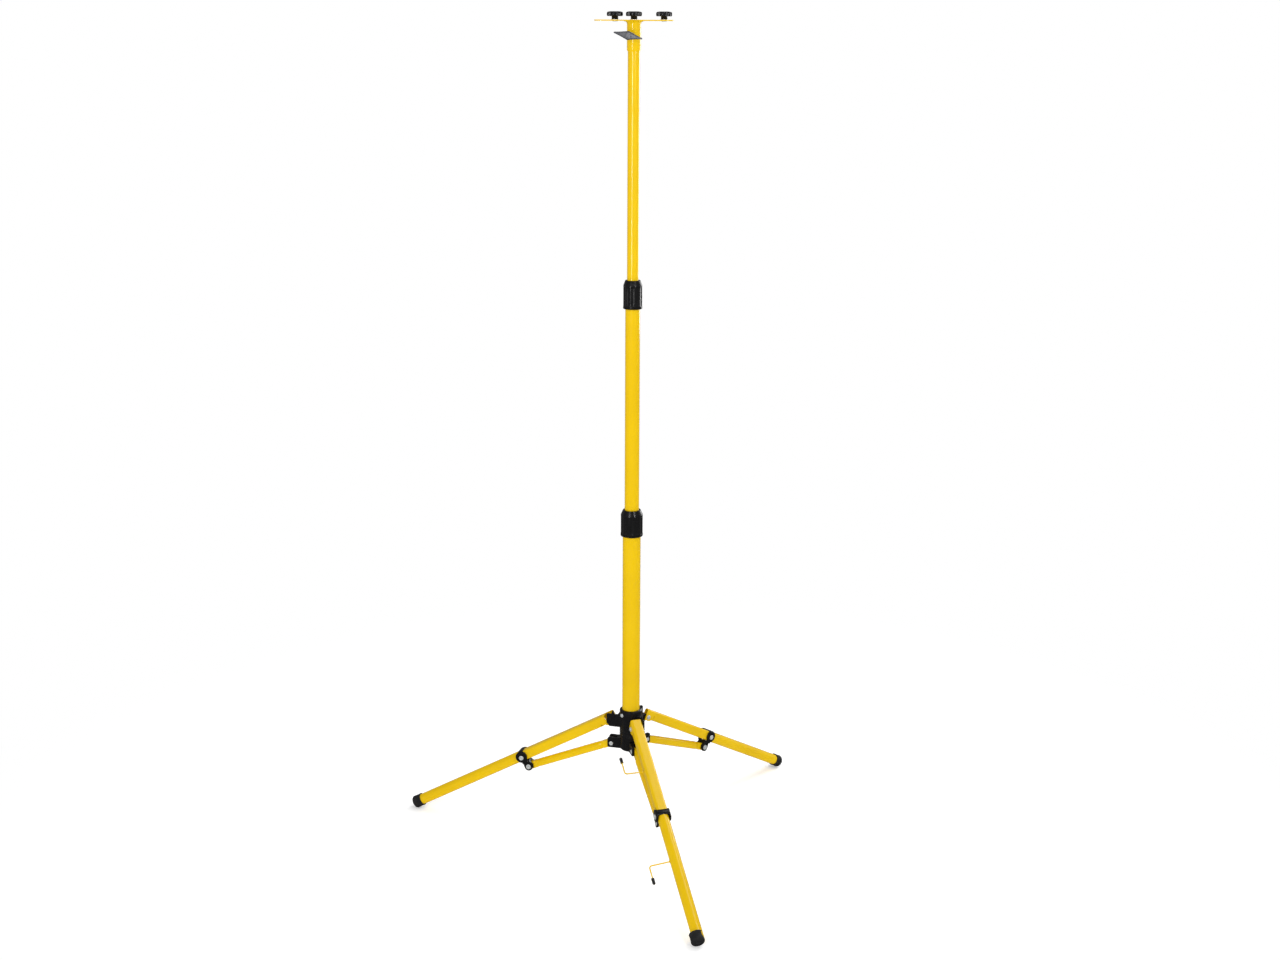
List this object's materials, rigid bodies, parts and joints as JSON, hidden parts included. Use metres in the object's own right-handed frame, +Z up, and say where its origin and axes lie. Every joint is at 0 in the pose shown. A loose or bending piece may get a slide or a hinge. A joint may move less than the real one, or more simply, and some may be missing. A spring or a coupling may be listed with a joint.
{
  "type": "telescopic tripod light stand",
  "caption": "Free-standing tripod stand: three-section twist-lock steel mast, sliding ring folding legs with struts, and a cross bar head with clamping knobs.",
  "frame": {"origin": "centre of the hub's flat underside, on the mast axis", "axes": "+Z up the mast; -Y along the front leg, which carries the cable hooks; +X to the right when the front leg points at the viewer"},
  "size_m": [0.8274, 0.7199, 1.6236],
  "materials": {
    "yellow_powder_coat": "gloss",
    "black_nylon": "satin",
    "black_rubber": "matte",
    "zinc_steel": "zinc plated",
    "black_plastic_knob": "gloss",
    "grey_cast_metal": "satin",
    "natural_nylon": "satin"
  },
  "bodies": {
    "base": {"hub_base": "black_nylon", "mast_bottom_tube": "yellow_powder_coat", "lower_collet": "natural_nylon", "base_rivets": "zinc_steel"},
    "ring": {"leg_ring": "black_nylon"},
    "lock_button": {"lock_button": "zinc_steel"},
    "middle_mast": {"mast_middle_tube": "yellow_powder_coat", "middle_guide_plug": "natural_nylon", "upper_collet": "natural_nylon"},
    "top_mast": {"mast_top_tube": "yellow_powder_coat", "top_guide_plug": "natural_nylon"},
    "lower_collar": {"lower_twist_collar": "black_nylon"},
    "upper_collar": {"upper_twist_collar": "black_nylon"},
    "head": {"head_sleeve": "yellow_powder_coat", "cross_bar": "yellow_powder_coat", "clamp_nut": "zinc_steel", "head_studs": "zinc_steel", "stud_washers": "zinc_steel"},
    "wing_screw": {"wing_screw": "grey_cast_metal"},
    "knob_left": {"knob_left": "black_plastic_knob"},
    "knob_centre": {"knob_centre": "black_plastic_knob"},
    "knob_right": {"knob_right": "black_plastic_knob"},
    "strut_front": {"strut_front": "yellow_powder_coat"},
    "leg_front": {"upper_leg_front": "yellow_powder_coat", "lower_leg_front": "yellow_powder_coat", "knee_bracket_front": "black_nylon", "foot_cap_front": "black_rubber", "knee_rivets_front": "zinc_steel", "leg_pivot_rivet_front": "zinc_steel", "cable_hook_upper": "yellow_powder_coat", "cable_hook_lower": "yellow_powder_coat", "hook_tip_upper": "black_rubber", "hook_tip_lower": "black_rubber"},
    "strut_right": {"strut_right": "yellow_powder_coat"},
    "leg_right": {"upper_leg_right": "yellow_powder_coat", "lower_leg_right": "yellow_powder_coat", "knee_bracket_right": "black_nylon", "foot_cap_right": "black_rubber", "knee_rivets_right": "zinc_steel", "leg_pivot_rivet_right": "zinc_steel"},
    "strut_left": {"strut_left": "yellow_powder_coat"},
    "leg_left": {"upper_leg_left": "yellow_powder_coat", "lower_leg_left": "yellow_powder_coat", "knee_bracket_left": "black_nylon", "foot_cap_left": "black_rubber", "knee_rivets_left": "zinc_steel", "leg_pivot_rivet_left": "zinc_steel"}
  },
  "joints": [
    {"name": "ring_slide", "type": "slide", "parent": "base", "child": "ring", "axis": [0, 0, 1], "range_m": [0, 0.3545]},
    {"name": "lock_button_press", "type": "slide", "parent": "ring", "child": "lock_button", "axis": [0.9205, 0.3907, 0], "range_m": [0, 0.0012], "stiffness_N_per_m": 800},
    {"name": "middle_mast_slide", "type": "slide", "parent": "base", "child": "middle_mast", "axis": [0, 0, 1], "range_m": [-0.39, 0]},
    {"name": "top_mast_slide", "type": "slide", "parent": "middle_mast", "child": "top_mast", "axis": [0, 0, 1], "range_m": [-0.415, 0]},
    {"name": "lower_collar_twist", "type": "hinge", "parent": "base", "child": "lower_collar", "pos_m": [0, 0, 0.4725], "axis": [0, 0, 1], "range_deg": [0, 90]},
    {"name": "upper_collar_twist", "type": "hinge", "parent": "middle_mast", "child": "upper_collar", "pos_m": [0, 0, 0.921], "axis": [0, 0, 1], "range_deg": [0, 90]},
    {"name": "head_turn", "type": "hinge", "parent": "top_mast", "child": "head", "pos_m": [0, 0, 1.39], "axis": [0, 0, 1], "continuous": true},
    {"name": "wing_screw_turn", "type": "hinge", "parent": "head", "child": "wing_screw", "pos_m": [-0.01607, -0.02533, 1.394], "axis": [-0.5358, -0.8443, 0], "range_deg": [0, 270]},
    {"name": "knob_left_turn", "type": "hinge", "parent": "head", "child": "knob_left", "pos_m": [-0.03326, 0.00916, 1.43], "axis": [0, 0, 1], "continuous": true},
    {"name": "knob_centre_turn", "type": "hinge", "parent": "head", "child": "knob_centre", "pos_m": [0, 0, 1.43], "axis": [0, 0, 1], "continuous": true},
    {"name": "knob_right_turn", "type": "hinge", "parent": "head", "child": "knob_right", "pos_m": [0.05254, -0.01447, 1.43], "axis": [0, 0, 1], "continuous": true},
    {"name": "strut_front_fold", "type": "hinge", "parent": "base", "child": "strut_front", "pos_m": [0, -0.0388, 0.0095], "axis": [-1, 0, 0], "range_deg": [0, 108.81]},
    {"name": "leg_front_fold", "type": "hinge", "parent": "strut_front", "child": "leg_front", "pos_m": [0, -0.21493, -0.06295], "axis": [-1, 0, 0], "range_deg": [-161.3, 0]},
    {"name": "strut_right_fold", "type": "hinge", "parent": "base", "child": "strut_right", "pos_m": [0.0336, 0.0194, 0.0095], "axis": [0.5, -0.866, 0], "range_deg": [0, 108.81]},
    {"name": "leg_right_fold", "type": "hinge", "parent": "strut_right", "child": "leg_right", "pos_m": [0.18613, 0.10746, -0.06295], "axis": [0.5, -0.866, 0], "range_deg": [-161.3, 0]},
    {"name": "strut_left_fold", "type": "hinge", "parent": "base", "child": "strut_left", "pos_m": [-0.0336, 0.0194, 0.0095], "axis": [0.5, 0.866, 0], "range_deg": [0, 108.81]},
    {"name": "leg_left_fold", "type": "hinge", "parent": "strut_left", "child": "leg_left", "pos_m": [-0.18613, 0.10746, -0.06295], "axis": [0.5, 0.866, 0], "range_deg": [-161.3, 0]}
  ],
  "couplings": [
    {"joint": "strut_front_fold", "follows": "ring_slide", "rad_per_m": 5.3568},
    {"joint": "leg_front_fold", "follows": "ring_slide", "rad_per_m": -7.9411},
    {"joint": "strut_right_fold", "follows": "ring_slide", "rad_per_m": 5.3568},
    {"joint": "leg_right_fold", "follows": "ring_slide", "rad_per_m": -7.9411},
    {"joint": "strut_left_fold", "follows": "ring_slide", "rad_per_m": 5.3568},
    {"joint": "leg_left_fold", "follows": "ring_slide", "rad_per_m": -7.9411}
  ]
}
